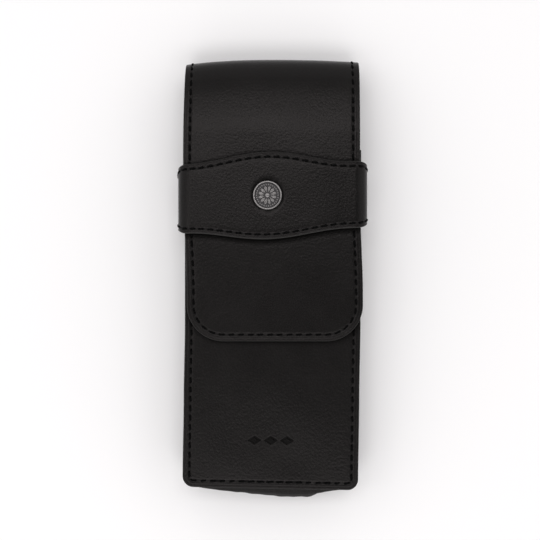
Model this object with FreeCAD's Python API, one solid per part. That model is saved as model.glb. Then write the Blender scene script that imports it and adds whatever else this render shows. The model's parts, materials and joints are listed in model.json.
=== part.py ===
import FreeCAD, Part
import math
import os

# Three-pen leather case with a tuck flap, lying on its back.
# X is its width, +Y points to the folded top end, +Z out of the pocket's front.
# The origin is below the middle of the case, on the surface it lies on.

V = FreeCAD.Vector

# Driving dimensions, in millimetres
WIDTH = 65.0              # back, flap and pocket front, edge to edge
LENGTH = 160.4            # pocket's bottom edge to the crest of the top fold
BOTTOM_BULGE = 4.8        # bottom gusset past the pocket's bottom edge
OUTER = 1.2               # outer leather
LINING = 0.8              # lining leather
POCKET_DEPTH = 16.0       # clear height inside the pocket
FLAP_GAP = 0.3            # air between pocket front and flap
BAND_GAP = 0.5            # air between flap and keeper band
FOLD_RADIUS = 9.0         # outer radius of the two bends at the top end
JOINT_GAP = 0.1           # cut across the sheet at each moving fold
MOUTH_FROM_CREST = 34.5
FLAP_LENGTH = 105.5       # crest to the flap's tip
FLAP_CORNER = 13.5
PANEL_CORNER = 4.0

# Sewing
SEAM_MARGIN = 4.0         # panel edge to the gusset's wall
SEAM_INSET = 2.5          # panel edge to the stitches
BAND_SEAM_INSET = 1.8
STITCH_PITCH = 3.55
STITCH_SHARE = 0.75       # share of the pitch that shows as thread
THREAD_WIDTH = 0.5
THREAD_HEIGHT = 0.3
GROOVE_WIDTH = 0.8
BEND_GROOVE_DEPTH = 0.45  # straight stitches sit deeper where the leather bends

# Keeper band
BAND_FROM_CREST = 52.1    # its middle line
BAND_END_WIDTH = 25.2
BAND_UPPER_CROWN = 3.9    # how far the upper edge rises in the middle
BAND_LOWER_CROWN = 3.1
BAND_CROWN_HALF = 30.0    # half the length over which the edges are curved
BAND_CROWN_X = -1.5       # the crown and the button stand a little left of the middle
BAND_HALF_SPAN = 35.4     # outer faces of the sides
BAND_UPPER_BEND = 4.0     # outer radius over the flap's edges
BAND_LOWER_BEND = 3.0     # outer radius into the side seam
BAND_TAB_END = 29.5       # how far in the sewn tabs reach
BAND_TAPER = 2.0          # the sides narrow by this much at each edge

# Button
BUTTON_RADIUS = 5.25
BUTTON_HEIGHT = 1.4
BUTTON_RIM = 0.75
BUTTON_DISH = 0.35
BUTTON_UP = 0.45          # centre above the band's middle line
SHANK_RADIUS = 1.2
BASE_RADIUS = 3.4
BASE_HEIGHT = 0.4
SHANK_PLAY = 0.05

# Gussets and dividers
SIDE_BULGE = 1.5
DIVIDER_X = 9.3
DIVIDER_THICKNESS = 0.8
DIVIDER_LOW_GAP = 5.5     # pocket's bottom edge to the dividers
DIVIDER_MOUTH_GAP = 4.0

# Debossed mark of three lozenges
MARK_FROM_BOTTOM = 18.0
MARK_SPACING = 6.0
MARK_HALF_LENGTH = 2.6
MARK_HALF_HEIGHT = 1.7
MARK_DEPTH = 0.3

# Worked out from the above
SHEET = OUTER + LINING
HALF = WIDTH / 2
CREST = (LENGTH + BOTTOM_BULGE) / 2
BOTTOM = CREST - LENGTH
MOUTH = CREST - MOUTH_FROM_CREST
FLAP_TIP = CREST - FLAP_LENGTH
POCKET_FLOOR = SHEET
POCKET_ROOF = POCKET_FLOOR + POCKET_DEPTH
FRONT_TOP = POCKET_ROOF + SHEET
FLAP_TOP = FRONT_TOP + FLAP_GAP + SHEET
BAND_TOP = FLAP_TOP + BAND_GAP + SHEET
BEND_Y = CREST - FOLD_RADIUS
UPPER_BEND_Z = FLAP_TOP - FOLD_RADIUS
BAND_Y = CREST - BAND_FROM_CREST
BUTTON_Y = BAND_Y + BUTTON_UP
MARK_Y = BOTTOM + MARK_FROM_BOTTOM
FAR = 400.0


def plan(u, v):
    return V(u, v, 0)


def across(u, v):
    return V(u, 0, v)


def along(u, v):
    return V(0, u, v)


def line(a, b):
    return Part.LineSegment(a, b).toShape()


def rounded(corners, plane, closed=True):
    """A wire through corners (u, v, radius), each turned with a tangent arc of its radius."""
    points = [plane(u, v) for u, v, radius in corners]
    count = len(corners)
    arcs = {}
    starts = []
    ends = []
    for index, (u, v, radius) in enumerate(corners):
        here = points[index]
        inner = closed or 0 < index < count - 1
        if radius == 0 or not inner:
            starts.append(here)
            ends.append(here)
            continue
        back = (points[index - 1] - here).normalize()
        ahead = (points[(index + 1) % count] - here).normalize()
        half_angle = back.getAngle(ahead) / 2
        reach = radius / math.tan(half_angle)
        middle = (back + ahead).normalize()
        nearest = here + middle * (radius / math.sin(half_angle) - radius)
        starts.append(here + back * reach)
        ends.append(here + ahead * reach)
        arcs[index] = Part.Arc(starts[-1], nearest, ends[-1]).toShape()
    path = []
    for index in range(count if closed else count - 1):
        if index in arcs:
            path.append(arcs[index])
        following = (index + 1) % count
        if (starts[following] - ends[index]).Length > 1e-6:
            path.append(line(ends[index], starts[following]))
    return Part.Wire(path)


def slab(wire, low, high):
    """A plan outline raised from height low to height high."""
    solid = Part.Face(wire).extrude(V(0, 0, high - low))
    solid.translate(V(0, 0, low))
    return solid


def box(low, high):
    size = [b - a for a, b in zip(low, high)]
    return Part.makeBox(size[0], size[1], size[2], V(*low))


def mirrored(shape):
    return shape.mirror(V(0, 0, 0), V(1, 0, 0))


def write(node, *solids):
    """One STEP file for one named node, made of one or more separate solids."""
    whole = solids[0] if len(solids) == 1 else Part.makeCompound(list(solids))
    whole.exportStep("parts/" + node + ".step")


# Plan outlines

def panel_outline(high, inset=0.0):
    """Back or pocket front: square at the top, small round corners at the bottom."""
    side = HALF - inset
    low = BOTTOM + inset
    corner = max(PANEL_CORNER - inset, 0.3)
    return rounded([(-side, low, corner), (side, low, corner), (side, high, 0), (-side, high, 0)],
                   plan)


def flap_outline(high, inset=0.0):
    """The flap's tip has large round corners."""
    side = HALF - inset
    low = FLAP_TIP + inset
    corner = FLAP_CORNER - inset
    return rounded([(-side, low, corner), (side, low, corner), (side, high, 0), (-side, high, 0)],
                   plan)


def band_edge(upper, inset=0.0):
    """One crowned edge of the keeper band: flat at the ends, a raised cosine in between."""
    side = 1 if upper else -1
    crown = BAND_UPPER_CROWN if upper else BAND_LOWER_CROWN
    steps = 8
    points = []
    for step in range(-steps, steps + 1):
        share = step / steps
        rise = crown * (1 + math.cos(math.pi * share)) / 2
        out = BAND_END_WIDTH / 2 - inset + rise
        points.append(V(BAND_CROWN_X + BAND_CROWN_HALF * share, BAND_Y + side * out, 0))
    curve = Part.BSplineCurve()
    curve.interpolate(points, InitialTangent=V(1, 0, 0), FinalTangent=V(1, 0, 0))
    return curve.toShape()


def strip_between(first, second):
    """A face between two curves that both run from left to right."""
    a, b = first.Vertexes[0].Point, first.Vertexes[-1].Point
    c, d = second.Vertexes[0].Point, second.Vertexes[-1].Point
    right = line(b, d)
    left = line(c, a)
    return Part.Face(Part.Wire(Part.__sortEdges__([first, right, second, left])))


# The sheet that makes back, top fold and flap

def bend_point(height, depth, degrees):
    """A point on one of the two bends, at a depth below the outer surface."""
    turn = math.radians(degrees)
    radius = FOLD_RADIUS - depth
    return V(0, BEND_Y + radius * math.cos(turn), height + radius * math.sin(turn))


def bend(height, depth, first, last):
    middle = (first + last) / 2
    return Part.Arc(bend_point(height, depth, first), bend_point(height, depth, middle),
                    bend_point(height, depth, last)).toShape()


def sheet_piece(routes):
    """A layer of the folded sheet, between an outer and an inner route, over the full width."""
    outer, inner = routes
    first = line(inner[0].Vertexes[0].Point, outer[0].Vertexes[0].Point)
    last = line(outer[-1].Vertexes[-1].Point, inner[-1].Vertexes[-1].Point)
    wire = Part.Wire(Part.__sortEdges__([first] + outer + [last] + inner))
    layer = Part.Face(wire).extrude(V(WIDTH, 0, 0))
    layer.translate(V(-HALF, 0, 0))
    return layer


HALF_GAP = math.degrees(JOINT_GAP / 2 / FOLD_RADIUS)


def back_layer(top, bottom):
    def route(depth):
        arc = bend(FOLD_RADIUS, depth, -90, -45 - HALF_GAP)
        return [line(V(0, BOTTOM, depth), V(0, BEND_Y, depth)), arc]
    return sheet_piece([route(top), route(bottom)]).common(slab(panel_outline(FAR), 0, FOLD_RADIUS))


def fold_layer(top, bottom):
    def route(depth):
        lower = bend(FOLD_RADIUS, depth, -45 + HALF_GAP, 0)
        upper = bend(UPPER_BEND_Z, depth, 0, 45 - HALF_GAP)
        upright = line(lower.Vertexes[-1].Point, upper.Vertexes[0].Point)
        return [lower, upright, upper]
    return sheet_piece([route(top), route(bottom)])


def flap_layer(top, bottom):
    def route(depth):
        level = FLAP_TOP - depth
        arc = bend(UPPER_BEND_Z, depth, 45 + HALF_GAP, 90)
        return [arc, line(V(0, BEND_Y, level), V(0, FLAP_TIP, level))]
    return sheet_piece([route(top), route(bottom)]).common(slab(flap_outline(FAR), 0, FLAP_TOP))


def side_grooves(layer):
    """The two straight stitching grooves of a sheet, taken out of a thin layer of it."""
    seam = HALF - SEAM_INSET
    right = box((seam - GROOVE_WIDTH / 2, -FAR, -FAR), (seam + GROOVE_WIDTH / 2, FAR, FAR))
    return layer.common(right.fuse(mirrored(right)))


# Stitches

def stitch(start, end, normal):
    """One bar of thread, flush with the surface whose outward direction is normal."""
    run = end - start
    side = normal.cross(run).normalize()
    bar = Part.makeBox(run.Length, THREAD_WIDTH, THREAD_HEIGHT)
    turn = FreeCAD.Rotation(run, side, normal, "XZY")
    base = start - side * (THREAD_WIDTH / 2) - normal * THREAD_HEIGHT
    bar.Placement = FreeCAD.Placement(base, turn)
    return bar


def stitches(path, normal_at):
    """Stitches at an even pitch along a path; normal_at gives the surface normal at a point."""
    count = max(1, round(path.Length / STITCH_PITCH))
    parts = 40
    points = path.discretize(Number=count * parts + 1)
    shown = round(parts * STITCH_SHARE)
    lead = (parts - shown) // 2
    bars = []
    for index in range(count):
        start = points[index * parts + lead]
        end = points[index * parts + lead + shown]
        bars.append(stitch(start, end, normal_at((start + end) / 2)))
    return bars


def upward(point):
    return V(0, 0, 1)


def downward(point):
    return V(0, 0, -1)


def sewn_line(a, b, normal_at):
    return stitches(Part.Wire([line(V(*a), V(*b))]), normal_at)


def three_sides(high, level, normal_at):
    """Stitches down the left side, along the bottom and up the right side of a panel."""
    side = HALF - SEAM_INSET
    low = BOTTOM + SEAM_INSET
    turn = PANEL_CORNER - SEAM_INSET
    left = sewn_line((-side, high, level), (-side, low + turn, level), normal_at)
    bottom = sewn_line((turn - side, low, level), (side - turn, low, level), normal_at)
    right = sewn_line((side, low + turn, level), (side, high, level), normal_at)
    return left + bottom + right


def groove_ring(outline_at, inset, low, high):
    """The stitching groove that runs round an outline at an inset."""
    outer = slab(outline_at(inset - GROOVE_WIDTH / 2), low, high)
    return outer.cut(slab(outline_at(inset + GROOVE_WIDTH / 2), low, high))


# Back, top fold and flap

def make_back():
    ring = groove_ring(lambda inset: panel_outline(BEND_Y, inset), SEAM_INSET, 0, THREAD_HEIGHT)
    write("back_outer", back_layer(0, OUTER).cut(ring))
    write("back_lining", back_layer(OUTER, SHEET))
    write("back_seam_thread", *three_sides(BEND_Y, 0, downward))


def make_top_fold():
    grooves = side_grooves(fold_layer(0, BEND_GROOVE_DEPTH))
    write("fold_outer", fold_layer(0, OUTER).cut(grooves))
    write("fold_lining", fold_layer(OUTER, SHEET))
    seam = HALF - SEAM_INSET
    lower = bend(FOLD_RADIUS, 0, -45 + HALF_GAP, 0)
    upper = bend(UPPER_BEND_Z, 0, 0, 45 - HALF_GAP)
    upright = line(lower.Vertexes[-1].Point, upper.Vertexes[0].Point)
    path = Part.Wire([lower, upright, upper])

    def outward(point):
        height = min(max(point.z, FOLD_RADIUS), UPPER_BEND_Z)
        return V(0, point.y - BEND_Y, point.z - height).normalize()

    bars = []
    for bar in stitches(path, outward):
        for side in (-seam, seam):
            copy = bar.copy()
            copy.translate(V(side, 0, 0))
            bars.append(copy)
    write("fold_seam_thread", *bars)


def make_flap():
    ring = groove_ring(lambda inset: flap_outline(BEND_Y, inset), SEAM_INSET,
                       FLAP_TOP - THREAD_HEIGHT, FLAP_TOP)
    write("flap_outer", flap_layer(0, OUTER).cut(ring))
    write("flap_lining", flap_layer(OUTER, SHEET))
    side = HALF - SEAM_INSET
    low = FLAP_TIP + SEAM_INSET
    corner = FLAP_CORNER - SEAM_INSET
    path = rounded([(-side, BEND_Y, 0), (-side, low, corner), (side, low, corner),
                    (side, BEND_Y, 0)], plan, closed=False)
    path.translate(V(0, 0, FLAP_TOP))
    write("flap_seam_thread", *stitches(path, upward))


# Pocket

def lozenges():
    """The debossed mark: three lozenges in a row."""
    tools = []
    for place in (-1, 0, 1):
        x = place * MARK_SPACING
        corners = [(x - MARK_HALF_LENGTH, MARK_Y, 0), (x, MARK_Y - MARK_HALF_HEIGHT, 0),
                   (x + MARK_HALF_LENGTH, MARK_Y, 0), (x, MARK_Y + MARK_HALF_HEIGHT, 0)]
        tools.append(slab(rounded(corners, plan), FRONT_TOP - MARK_DEPTH, FRONT_TOP))
    return Part.makeCompound(tools)


def make_front():
    leather = slab(panel_outline(MOUTH), POCKET_ROOF + LINING, FRONT_TOP)
    groove_floor = FRONT_TOP - THREAD_HEIGHT
    ring = groove_ring(lambda inset: panel_outline(MOUTH, inset), SEAM_INSET, groove_floor, FRONT_TOP)
    mouth_seam = MOUTH - SEAM_INSET
    mouth_end = HALF - SEAM_MARGIN
    mouth_groove = box((-mouth_end, mouth_seam - GROOVE_WIDTH / 2, groove_floor),
                       (mouth_end, mouth_seam + GROOVE_WIDTH / 2, FRONT_TOP))
    write("front_outer", leather.cut(ring).cut(mouth_groove).cut(lozenges()))
    write("front_lining", slab(panel_outline(MOUTH), POCKET_ROOF, POCKET_ROOF + LINING))
    write("front_seam_thread", *three_sides(MOUTH, FRONT_TOP, upward))
    write("mouth_thread", *sewn_line((-mouth_end, mouth_seam, FRONT_TOP),
                                     (mouth_end, mouth_seam, FRONT_TOP), upward))


def bowed_section(base, bulge, plane):
    """A wall's section, from pocket floor to roof: outer face at base, bowed out by bulge."""
    middle = (POCKET_FLOOR + POCKET_ROOF) / 2

    def face(shift, low, high):
        return Part.Arc(plane(base + shift, low), plane(base + shift + bulge, middle),
                        plane(base + shift, high)).toShape()

    outer = face(0, POCKET_FLOOR, POCKET_ROOF)
    roof = line(plane(base, POCKET_ROOF), plane(base - OUTER, POCKET_ROOF))
    inner = face(-OUTER, POCKET_ROOF, POCKET_FLOOR)
    floor = line(plane(base - OUTER, POCKET_FLOOR), plane(base, POCKET_FLOOR))
    return Part.Wire([outer, roof, inner, floor])


def make_side_gussets():
    base = HALF - SEAM_MARGIN
    low = BOTTOM + SEAM_MARGIN + OUTER
    wall = Part.Face(bowed_section(base, SIDE_BULGE, across)).extrude(V(0, MOUTH - low, 0))
    wall.translate(V(0, low, 0))
    lower = box((base - OUTER / 2, low, POCKET_FLOOR), (HALF, MOUTH, POCKET_FLOOR + OUTER))
    upper = box((base - OUTER / 2, low, POCKET_ROOF - OUTER), (HALF, MOUTH, POCKET_ROOF))
    right = wall.fuse([lower, upper]).removeSplitter()
    write("right_gusset", right)
    write("left_gusset", mirrored(right))


def bottom_wall_section(x, bulge):
    """A slice across the bottom wall, its outer face a parabola from pocket floor to roof."""
    base = BOTTOM + SEAM_MARGIN
    steps = 8
    outer = []
    inner = []
    for step in range(steps + 1):
        share = step / steps
        height = POCKET_FLOOR + POCKET_DEPTH * share
        bow = bulge * 4 * share * (1 - share)
        outer.append(V(x, base - bow, height))
        inner.append(V(x, base + OUTER - bow, height))
    return Part.makePolygon(outer + inner[::-1] + outer[:1])


def make_bottom_gusset():
    """The wall bows out further towards the middle, most on the right, and is flat at its ends."""
    full = SEAM_MARGIN + BOTTOM_BULGE
    stations = [(-30.0, 0.2), (-19.0, 4.2), (-10.0, 6.5), (15.0, full), (22.5, 4.2), (30.0, 0.2)]
    wall = Part.makeLoft([bottom_wall_section(x, bulge) for x, bulge in stations], True, True)
    margin = panel_outline(BOTTOM + SEAM_MARGIN + OUTER)
    lower = slab(margin, POCKET_FLOOR, POCKET_FLOOR + OUTER)
    upper = slab(margin, POCKET_ROOF - OUTER, POCKET_ROOF)
    write("bottom_gusset", wall.fuse([lower, upper]).removeSplitter())


def make_dividers():
    right = box((DIVIDER_X - DIVIDER_THICKNESS / 2, BOTTOM + DIVIDER_LOW_GAP, POCKET_FLOOR),
                (DIVIDER_X + DIVIDER_THICKNESS / 2, MOUTH - DIVIDER_MOUTH_GAP, POCKET_ROOF))
    write("right_divider", right)
    write("left_divider", mirrored(right))


# Keeper band

def band_section(depth, foot):
    """The band's outline as seen from the top end, at a depth below its outer surface."""
    side = BAND_HALF_SPAN - depth
    top = BAND_TOP - depth
    upper = BAND_UPPER_BEND - depth
    return [(side, foot, 0), (side, top, upper), (-side, top, upper), (-side, foot, 0)]


def band_ring(top, bottom, foot):
    """The band between two depths, open below the height foot."""
    outer = Part.Face(rounded(band_section(top, foot), across))
    inner = Part.Face(rounded(band_section(bottom, foot), across))
    ring = outer.cut(inner).extrude(V(0, FAR, 0))
    ring.translate(V(0, -FAR / 2, 0))
    return ring


def band_cutter():
    """Everything inside the band's crowned edges, narrowing down its sides."""
    crown = slab(Part.Wire(Part.__sortEdges__(band_plan_edges())), 0, BAND_TOP)
    low = BAND_Y - BAND_END_WIDTH / 2
    high = BAND_Y + BAND_END_WIDTH / 2
    shoulder = FRONT_TOP
    taper = rounded([(low - BAND_LOWER_CROWN, BAND_TOP, 0), (low - BAND_LOWER_CROWN, shoulder, 0),
                     (low, shoulder, 0), (low + BAND_TAPER, POCKET_FLOOR, 0),
                     (high - BAND_TAPER, POCKET_FLOOR, 0), (high, shoulder, 0),
                     (high + BAND_UPPER_CROWN, shoulder, 0), (high + BAND_UPPER_CROWN, BAND_TOP, 0)],
                    along)
    side_view = Part.Face(taper).extrude(V(2 * BAND_HALF_SPAN, 0, 0))
    side_view.translate(V(-BAND_HALF_SPAN, 0, 0))
    return crown.common(side_view)


def band_plan_edges():
    upper = band_edge(True)
    lower = band_edge(False)
    reach = BAND_HALF_SPAN
    edges = [upper, lower]
    for side in (-1, 1):
        high = V(BAND_CROWN_X + side * BAND_CROWN_HALF, BAND_Y + BAND_END_WIDTH / 2, 0)
        low = V(BAND_CROWN_X + side * BAND_CROWN_HALF, BAND_Y - BAND_END_WIDTH / 2, 0)
        high_end = V(side * reach, high.y, 0)
        low_end = V(side * reach, low.y, 0)
        edges += [line(high, high_end), line(high_end, low_end), line(low_end, low)]
    return edges


def band_tab():
    """The right end of the band, turned in under itself to lie on the gusset's sewn margin."""
    seat = POCKET_FLOOR + OUTER
    top = seat + BAND_LOWER_BEND
    corners = [(BAND_TAB_END, seat, 0), (BAND_HALF_SPAN, seat, BAND_LOWER_BEND),
               (BAND_HALF_SPAN, top, 0), (BAND_HALF_SPAN - OUTER, top, 0),
               (BAND_HALF_SPAN - OUTER, seat + OUTER, BAND_LOWER_BEND - OUTER),
               (BAND_TAB_END, seat + OUTER, 0)]
    tab = Part.Face(rounded(corners, across)).extrude(V(0, FAR, 0))
    tab.translate(V(0, -FAR / 2, 0))
    return tab


def band_grooves():
    tools = []
    for upper in (True, False):
        near = band_edge(upper, BAND_SEAM_INSET - GROOVE_WIDTH / 2)
        far = band_edge(upper, BAND_SEAM_INSET + GROOVE_WIDTH / 2)
        groove = strip_between(near, far).extrude(V(0, 0, THREAD_HEIGHT))
        groove.translate(V(0, 0, BAND_TOP - THREAD_HEIGHT))
        tools.append(groove)
    return tools


def make_band():
    foot = POCKET_FLOOR + OUTER + BAND_LOWER_BEND
    tab = band_tab()
    leather = band_ring(0, OUTER, foot).fuse([tab, mirrored(tab)]).removeSplitter()
    leather = leather.common(band_cutter())
    for groove in band_grooves():
        leather = leather.cut(groove)
    shank = Part.makeCylinder(SHANK_RADIUS + SHANK_PLAY, FAR, V(BAND_CROWN_X, BUTTON_Y, 0))
    seat = Part.makeCylinder(BASE_RADIUS + SHANK_PLAY, BASE_HEIGHT,
                             V(BAND_CROWN_X, BUTTON_Y, BAND_TOP - OUTER))
    write("band_outer", leather.cut(shank).cut(seat))
    write("band_lining", band_ring(OUTER, SHEET, foot).common(band_cutter()))
    for name, upper in (("band_upper_thread", True), ("band_lower_thread", False)):
        path = Part.Wire([band_edge(upper, BAND_SEAM_INSET)])
        path.translate(V(0, 0, BAND_TOP))
        write(name, *stitches(path, upward))


def make_button():
    """A dished cap with a raised rim on a shank, and the plate that holds it from behind."""
    cap = Part.makeCylinder(BUTTON_RADIUS, BUTTON_HEIGHT)
    rim_edge = [edge for edge in cap.Edges if edge.BoundBox.ZMin > BUTTON_HEIGHT / 2
                and edge.BoundBox.ZLength < 1e-6]
    cap = cap.makeFillet(BUTTON_RIM / 2, rim_edge)
    dish = Part.makeCylinder(BUTTON_RADIUS - BUTTON_RIM, BUTTON_DISH, V(0, 0, BUTTON_HEIGHT - BUTTON_DISH))
    shank = Part.makeCylinder(SHANK_RADIUS, OUTER, V(0, 0, -OUTER))
    cap = cap.cut(dish).fuse(shank)
    cap.translate(V(BAND_CROWN_X, BUTTON_Y, BAND_TOP))
    write("button_cap", cap)
    plate = Part.makeCylinder(BASE_RADIUS, BASE_HEIGHT)
    plate = plate.cut(Part.makeCylinder(SHANK_RADIUS + SHANK_PLAY, BASE_HEIGHT))
    plate.translate(V(BAND_CROWN_X, BUTTON_Y, BAND_TOP - OUTER))
    write("button_base", plate)


os.makedirs("parts", exist_ok=True)
make_back()
make_top_fold()
make_flap()
make_front()
make_side_gussets()
make_bottom_gusset()
make_dividers()
make_band()
make_button()
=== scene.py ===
"""A three-pen leather case with a tuck flap: its looks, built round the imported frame.

Every leather piece is cut flat and then put in place. Its points are first worked out in the
cut's own terms, (across, along, depth below the grain side), and a place function bends the
cut round the case. All lengths here are in millimetres until a mesh is made.
"""

import json
import math

import bmesh
import bpy
import numpy as np
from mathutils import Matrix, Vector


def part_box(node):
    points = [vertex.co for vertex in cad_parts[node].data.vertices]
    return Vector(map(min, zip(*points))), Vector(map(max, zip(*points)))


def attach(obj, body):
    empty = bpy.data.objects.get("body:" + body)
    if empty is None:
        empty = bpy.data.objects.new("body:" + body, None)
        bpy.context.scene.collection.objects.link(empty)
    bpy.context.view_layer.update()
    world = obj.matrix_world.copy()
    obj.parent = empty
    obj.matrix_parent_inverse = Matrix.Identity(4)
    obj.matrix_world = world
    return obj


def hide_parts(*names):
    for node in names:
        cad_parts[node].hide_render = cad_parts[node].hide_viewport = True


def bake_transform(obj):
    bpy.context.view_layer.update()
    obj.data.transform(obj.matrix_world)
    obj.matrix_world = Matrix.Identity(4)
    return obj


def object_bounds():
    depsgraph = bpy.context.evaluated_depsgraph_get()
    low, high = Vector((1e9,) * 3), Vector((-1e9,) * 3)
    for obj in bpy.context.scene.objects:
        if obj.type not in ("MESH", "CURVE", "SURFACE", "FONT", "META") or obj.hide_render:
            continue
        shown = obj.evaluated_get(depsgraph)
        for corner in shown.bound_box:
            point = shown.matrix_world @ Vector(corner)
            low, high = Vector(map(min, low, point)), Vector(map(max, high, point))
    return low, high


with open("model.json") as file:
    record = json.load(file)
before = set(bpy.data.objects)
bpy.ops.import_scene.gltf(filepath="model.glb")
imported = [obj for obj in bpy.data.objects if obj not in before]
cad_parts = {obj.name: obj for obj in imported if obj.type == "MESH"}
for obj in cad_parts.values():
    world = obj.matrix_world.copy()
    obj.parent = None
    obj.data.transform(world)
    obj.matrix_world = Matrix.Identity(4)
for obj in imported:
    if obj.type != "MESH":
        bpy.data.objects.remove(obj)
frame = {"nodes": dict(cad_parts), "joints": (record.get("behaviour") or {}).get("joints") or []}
cad_low, cad_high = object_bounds()

MM = 0.001


def box_mm(node):
    low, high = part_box(node)
    return np.array(low) / MM, np.array(high) / MM


# The case's own sizes, read from the frame
front_low, front_high = box_mm("front_outer")
lining_low, lining_high = box_mm("front_lining")
flap_low, flap_high = box_mm("flap_outer")
gusset_low, gusset_high = box_mm("right_gusset")
band_low, band_high = box_mm("band_outer")
cap_low, cap_high = box_mm("button_cap")
divider_low, divider_high = box_mm("right_divider")
hinge_height = frame["joints"][0]["pos_m"][2] / MM

HALF = front_high[0]
BOTTOM = front_low[1]
MOUTH = front_high[1]
FRONT_TOP = front_high[2]
OUTER = front_high[2] - front_low[2]
LINING = lining_high[2] - lining_low[2]
SHEET = OUTER + LINING
FLOOR_Z = gusset_low[2]
ROOF_Z = gusset_high[2]
MIDDLE_Z = (FLOOR_Z + ROOF_Z) / 2
FLAP_TOP = flap_high[2]
FLAP_TIP = flap_low[1]
CREST = box_mm("fold_outer")[1][1]
FOLD_RADIUS = hinge_height / (1 - math.sqrt(0.5))     # the hinge lies in the bend's middle
BEND_Y = CREST - FOLD_RADIUS
UPPER_BEND_Z = FLAP_TOP - FOLD_RADIUS
BAND_TOP = band_high[2]
BAND_SPAN = band_high[0]
BUTTON_X = (cap_low[0] + cap_high[0]) / 2
BUTTON_Y = (cap_low[1] + cap_high[1]) / 2
BUTTON_RADIUS = (cap_high[0] - cap_low[0]) / 2
BUTTON_TOP = cap_high[2]

# Sewing
SEAM_INSET = 2.5
BAND_SEAM_INSET = 1.8
PITCH = 3.55
STITCH_HALF = 0.31            # half a stitch's length, as a share of the pitch
STITCH_SLANT = 0.20
STITCH_RISE = 0.10            # the thread's middle line above the leather, halfway along a stitch
STITCH_DIVE = 0.62            # how far it goes down from there to a stitch's ends
THREAD_RADIUS = 0.34
THREAD_HALF_HEIGHT = 0.8 * THREAD_RADIUS
TROUGH_DEPTH = 0.18           # how deep a seam is pulled in
HOLE_DEPTH = 0.34             # how much deeper at a stitch's ends
BRIDGE_RISE = 0.14            # how much less between two stitches
CREASE_SHADE = 0.15                   # painted shade in seam troughs and creases, beside a pressed mark of that depth

# Panels
PANEL_CORNER = 4.0
FLAP_CORNER = 13.5
INNER = 3.5                   # where a panel's edge rings end and its grid begins
GRAIN_RINGS = [0.36, 0.6, 0.8, 0.95, 1.05, 1.15, 1.3, 1.6, 1.9, 2.1, 2.25, 2.38, 2.5, 2.62, 2.75,
               2.9, 3.15]
LINING_TRIM = 0.02            # keeps lining and leather from sharing one surface
DARKEST_RELIEF = 0.14          # the relief from which leather is darkest, for pressed marks and painted shade alike
SHADOW_LINE_DENT = 0.25             # the dent under a painted shadow line, beside a pressed mark's depth that is as dark
FRONT_SPREAD = 1.005          # the pocket is slightly wider than its cut
FLAP_SLIP = 1.25              # how far the flap's tip has slipped to the right
FOLD_CROWN = 0.35             # how much further out the top fold's middle reaches
FOLD_TUCK = 0.7               # how far its left end is tucked in
SHOULDER_DROP = 1.9           # how far the flap slopes down where the fold begins

# Keeper band
BAND_Y = BUTTON_Y - 0.45
BAND_END_HALF = 12.6
UPPER_CROWN = band_high[1] - BAND_Y - BAND_END_HALF
LOWER_CROWN = BAND_Y - BAND_END_HALF - band_low[1]
CROWN_HALF = 30.0
UPPER_SLOPE = math.tan(math.radians(1.0))
LOWER_SLOPE = math.tan(math.radians(1.9))
BAND_TAB_END = 29.5           # how far in the tabs under the gussets reach
BAND_LOWER_BEND = 3.0
BAND_UPPER_BEND = 5.0
BAND_REACH = BAND_END_HALF + 6.0     # from the band's middle, as far as the fine rows under it
BAND_RINGS = [0.34, 0.5, 0.62, 0.72, 0.82, 0.95, 1.15, 1.35, 1.5, 1.62, 1.72, 1.8, 1.88, 1.98, 2.1,
              2.3, 2.6]


def smooth(share):
    share = np.clip(share, 0, 1)
    return share * share * (3 - 2 * share)


def ramp(value, start, end):
    return smooth((value - start) / (end - start))


def bump(value, centre, width):
    return np.exp(-(((value - centre) / width) ** 2))


# Where things lie

def route(corners, inward):
    """Straight runs joined by round bends. Gives the length, and a function of length and depth.

    corners are (a, b, radius). inward is 1 if the inside lies left of travel, -1 if right.
    """
    points = [np.array(corner[:2], float) for corner in corners]
    runs = [b - a for a, b in zip(points, points[1:])]
    headings = [math.atan2(run[1], run[0]) for run in runs]
    samples = [(points[0], headings[0])]
    for index in range(1, len(corners) - 1):
        heading = headings[index - 1]
        turn = (headings[index] - heading + math.pi) % (2 * math.pi) - math.pi
        radius = corners[index][2]
        side = math.copysign(radius, turn)
        before = np.array([math.cos(heading), math.sin(heading)])
        start = points[index] - before * radius * math.tan(abs(turn) / 2)
        centre = start + side * np.array([-before[1], before[0]])
        for share in np.linspace(0, 1, 33):
            angle = heading + turn * share
            samples.append((centre + side * np.array([math.sin(angle), -math.cos(angle)]), angle))
    last = samples[-1][1]
    samples.append((points[-1], last))
    places = np.array([place for place, angle in samples])
    angles = np.array([angle for place, angle in samples])
    reach = np.concatenate([[0], np.cumsum(np.linalg.norm(np.diff(places, axis=0), axis=1))])

    def at(length, depth):
        angle = np.interp(length, reach, angles)
        a = np.interp(length, reach, places[:, 0]) - inward * np.sin(angle) * depth
        b = np.interp(length, reach, places[:, 1]) + inward * np.cos(angle) * depth
        return a, b

    return reach[-1], at


SHEET_LENGTH, sheet_at = route([(BOTTOM, 0, 0), (CREST, 0, FOLD_RADIUS),
                                (CREST, FLAP_TOP, FOLD_RADIUS), (FLAP_TIP, FLAP_TOP, 0)], 1)
BACK_LENGTH = BEND_Y - BOTTOM
SHEET_MIDDLE = BACK_LENGTH + FOLD_RADIUS * math.pi / 2 + (UPPER_BEND_Z - FOLD_RADIUS) / 2


def case_shift(y):
    """The sewn pocket isn't quite straight: its lower end leans left, its mouth right."""
    return 0.45 * ramp(y, -45, -15) + 0.25 * ramp(y, 30, 46) - 0.45 * ramp(y, -42, -78)


def case_skew(x, y):
    """The bottom edge runs slightly uphill to the left."""
    return -0.65 * x / HALF * ramp(y, -35, BOTTOM)


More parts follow.
